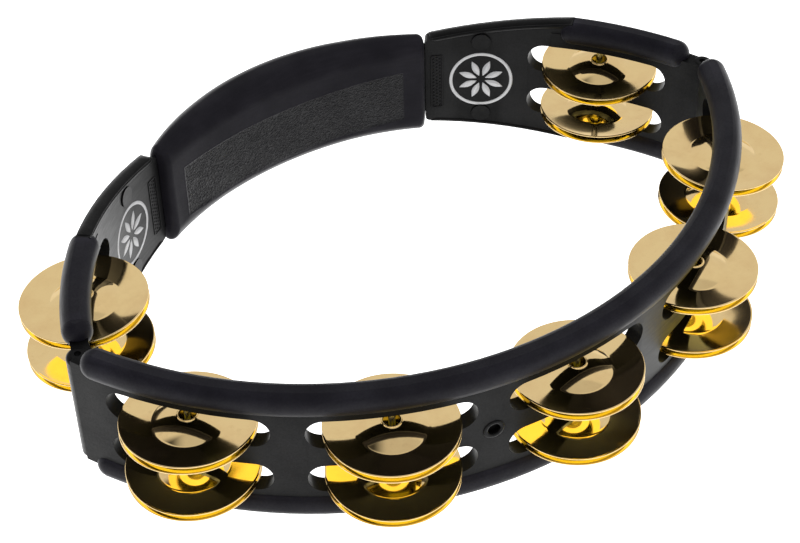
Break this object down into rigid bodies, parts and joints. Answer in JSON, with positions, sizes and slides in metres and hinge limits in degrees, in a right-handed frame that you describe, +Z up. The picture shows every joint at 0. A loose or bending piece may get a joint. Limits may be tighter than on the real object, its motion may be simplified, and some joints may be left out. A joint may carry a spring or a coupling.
{
  "type": "tambourine",
  "caption": "Eye-shaped hand tambourine: slotted plastic ring with round rims, a soft grip, and pairs of domed brass jingles that rattle on steel pins.",
  "frame": {"origin": "centre of the bounding box in plan, at the plane the bottom rims rest on", "axes": "+Z up out of the resting plane, -Y towards the front arc that carries five jingle stations, +Y towards the grip, +X to the player's right when the front arc is nearest"},
  "size_m": [0.2966, 0.233, 0.0596],
  "materials": {
    "frame_plastic": "fine moulded satin, black",
    "rim_plastic": "smooth satin, blue-black",
    "grip_rubber": "soft matte with a leather-grain patch on the inner face",
    "jingle_brass": "polished brass sheet",
    "pin_steel": "plain drawn wire"
  },
  "bodies": {
    "ring": {"frame": "frame_plastic", "grip": "grip_rubber", "front_rim_top": "rim_plastic", "front_rim_bottom": "rim_plastic", "left_rim_top": "rim_plastic", "left_rim_bottom": "rim_plastic", "right_rim_top": "rim_plastic", "right_rim_bottom": "rim_plastic", "pin_left": "pin_steel", "pin_front_1": "pin_steel", "pin_front_2": "pin_steel", "pin_front_3": "pin_steel", "pin_front_4": "pin_steel", "pin_front_5": "pin_steel", "pin_right": "pin_steel"},
    "jingle_left_upper_bottom": {"jingle_left_upper_bottom": "jingle_brass"},
    "jingle_left_upper_top": {"jingle_left_upper_top": "jingle_brass"},
    "jingle_left_lower_bottom": {"jingle_left_lower_bottom": "jingle_brass"},
    "jingle_left_lower_top": {"jingle_left_lower_top": "jingle_brass"},
    "jingle_front_1_upper_bottom": {"jingle_front_1_upper_bottom": "jingle_brass"},
    "jingle_front_1_upper_top": {"jingle_front_1_upper_top": "jingle_brass"},
    "jingle_front_1_lower_bottom": {"jingle_front_1_lower_bottom": "jingle_brass"},
    "jingle_front_1_lower_top": {"jingle_front_1_lower_top": "jingle_brass"},
    "jingle_front_2_upper_bottom": {"jingle_front_2_upper_bottom": "jingle_brass"},
    "jingle_front_2_upper_top": {"jingle_front_2_upper_top": "jingle_brass"},
    "jingle_front_2_lower_bottom": {"jingle_front_2_lower_bottom": "jingle_brass"},
    "jingle_front_2_lower_top": {"jingle_front_2_lower_top": "jingle_brass"},
    "jingle_front_3_upper_bottom": {"jingle_front_3_upper_bottom": "jingle_brass"},
    "jingle_front_3_upper_top": {"jingle_front_3_upper_top": "jingle_brass"},
    "jingle_front_3_lower_bottom": {"jingle_front_3_lower_bottom": "jingle_brass"},
    "jingle_front_3_lower_top": {"jingle_front_3_lower_top": "jingle_brass"},
    "jingle_front_4_upper_bottom": {"jingle_front_4_upper_bottom": "jingle_brass"},
    "jingle_front_4_upper_top": {"jingle_front_4_upper_top": "jingle_brass"},
    "jingle_front_4_lower_bottom": {"jingle_front_4_lower_bottom": "jingle_brass"},
    "jingle_front_4_lower_top": {"jingle_front_4_lower_top": "jingle_brass"},
    "jingle_front_5_upper_bottom": {"jingle_front_5_upper_bottom": "jingle_brass"},
    "jingle_front_5_upper_top": {"jingle_front_5_upper_top": "jingle_brass"},
    "jingle_front_5_lower_bottom": {"jingle_front_5_lower_bottom": "jingle_brass"},
    "jingle_front_5_lower_top": {"jingle_front_5_lower_top": "jingle_brass"},
    "jingle_right_upper_bottom": {"jingle_right_upper_bottom": "jingle_brass"},
    "jingle_right_upper_top": {"jingle_right_upper_top": "jingle_brass"},
    "jingle_right_lower_bottom": {"jingle_right_lower_bottom": "jingle_brass"},
    "jingle_right_lower_top": {"jingle_right_lower_top": "jingle_brass"}
  },
  "joints": [
    {"name": "slide_left_upper_bottom", "type": "slide", "parent": "ring", "child": "jingle_left_upper_bottom", "axis": [0, 0, 1], "range_m": [0, 0.0022]},
    {"name": "slide_left_upper_top", "type": "slide", "parent": "jingle_left_upper_bottom", "child": "jingle_left_upper_top", "axis": [0, 0, 1], "range_m": [0, 0.0022]},
    {"name": "slide_left_lower_bottom", "type": "slide", "parent": "ring", "child": "jingle_left_lower_bottom", "axis": [0, 0, 1], "range_m": [0, 0.0022]},
    {"name": "slide_left_lower_top", "type": "slide", "parent": "jingle_left_lower_bottom", "child": "jingle_left_lower_top", "axis": [0, 0, 1], "range_m": [0, 0.0022]},
    {"name": "slide_front_1_upper_bottom", "type": "slide", "parent": "ring", "child": "jingle_front_1_upper_bottom", "axis": [0, 0, 1], "range_m": [0, 0.0022]},
    {"name": "slide_front_1_upper_top", "type": "slide", "parent": "jingle_front_1_upper_bottom", "child": "jingle_front_1_upper_top", "axis": [0, 0, 1], "range_m": [0, 0.0022]},
    {"name": "slide_front_1_lower_bottom", "type": "slide", "parent": "ring", "child": "jingle_front_1_lower_bottom", "axis": [0, 0, 1], "range_m": [0, 0.0022]},
    {"name": "slide_front_1_lower_top", "type": "slide", "parent": "jingle_front_1_lower_bottom", "child": "jingle_front_1_lower_top", "axis": [0, 0, 1], "range_m": [0, 0.0022]},
    {"name": "slide_front_2_upper_bottom", "type": "slide", "parent": "ring", "child": "jingle_front_2_upper_bottom", "axis": [0, 0, 1], "range_m": [0, 0.0022]},
    {"name": "slide_front_2_upper_top", "type": "slide", "parent": "jingle_front_2_upper_bottom", "child": "jingle_front_2_upper_top", "axis": [0, 0, 1], "range_m": [0, 0.0022]},
    {"name": "slide_front_2_lower_bottom", "type": "slide", "parent": "ring", "child": "jingle_front_2_lower_bottom", "axis": [0, 0, 1], "range_m": [0, 0.0022]},
    {"name": "slide_front_2_lower_top", "type": "slide", "parent": "jingle_front_2_lower_bottom", "child": "jingle_front_2_lower_top", "axis": [0, 0, 1], "range_m": [0, 0.0022]},
    {"name": "slide_front_3_upper_bottom", "type": "slide", "parent": "ring", "child": "jingle_front_3_upper_bottom", "axis": [0, 0, 1], "range_m": [0, 0.0022]},
    {"name": "slide_front_3_upper_top", "type": "slide", "parent": "jingle_front_3_upper_bottom", "child": "jingle_front_3_upper_top", "axis": [0, 0, 1], "range_m": [0, 0.0022]},
    {"name": "slide_front_3_lower_bottom", "type": "slide", "parent": "ring", "child": "jingle_front_3_lower_bottom", "axis": [0, 0, 1], "range_m": [0, 0.0022]},
    {"name": "slide_front_3_lower_top", "type": "slide", "parent": "jingle_front_3_lower_bottom", "child": "jingle_front_3_lower_top", "axis": [0, 0, 1], "range_m": [0, 0.0022]},
    {"name": "slide_front_4_upper_bottom", "type": "slide", "parent": "ring", "child": "jingle_front_4_upper_bottom", "axis": [0, 0, 1], "range_m": [0, 0.0022]},
    {"name": "slide_front_4_upper_top", "type": "slide", "parent": "jingle_front_4_upper_bottom", "child": "jingle_front_4_upper_top", "axis": [0, 0, 1], "range_m": [0, 0.0022]},
    {"name": "slide_front_4_lower_bottom", "type": "slide", "parent": "ring", "child": "jingle_front_4_lower_bottom", "axis": [0, 0, 1], "range_m": [0, 0.0022]},
    {"name": "slide_front_4_lower_top", "type": "slide", "parent": "jingle_front_4_lower_bottom", "child": "jingle_front_4_lower_top", "axis": [0, 0, 1], "range_m": [0, 0.0022]},
    {"name": "slide_front_5_upper_bottom", "type": "slide", "parent": "ring", "child": "jingle_front_5_upper_bottom", "axis": [0, 0, 1], "range_m": [0, 0.0022]},
    {"name": "slide_front_5_upper_top", "type": "slide", "parent": "jingle_front_5_upper_bottom", "child": "jingle_front_5_upper_top", "axis": [0, 0, 1], "range_m": [0, 0.0022]},
    {"name": "slide_front_5_lower_bottom", "type": "slide", "parent": "ring", "child": "jingle_front_5_lower_bottom", "axis": [0, 0, 1], "range_m": [0, 0.0022]},
    {"name": "slide_front_5_lower_top", "type": "slide", "parent": "jingle_front_5_lower_bottom", "child": "jingle_front_5_lower_top", "axis": [0, 0, 1], "range_m": [0, 0.0022]},
    {"name": "slide_right_upper_bottom", "type": "slide", "parent": "ring", "child": "jingle_right_upper_bottom", "axis": [0, 0, 1], "range_m": [0, 0.0022]},
    {"name": "slide_right_upper_top", "type": "slide", "parent": "jingle_right_upper_bottom", "child": "jingle_right_upper_top", "axis": [0, 0, 1], "range_m": [0, 0.0022]},
    {"name": "slide_right_lower_bottom", "type": "slide", "parent": "ring", "child": "jingle_right_lower_bottom", "axis": [0, 0, 1], "range_m": [0, 0.0022]},
    {"name": "slide_right_lower_top", "type": "slide", "parent": "jingle_right_lower_bottom", "child": "jingle_right_lower_top", "axis": [0, 0, 1], "range_m": [0, 0.0022]}
  ]
}
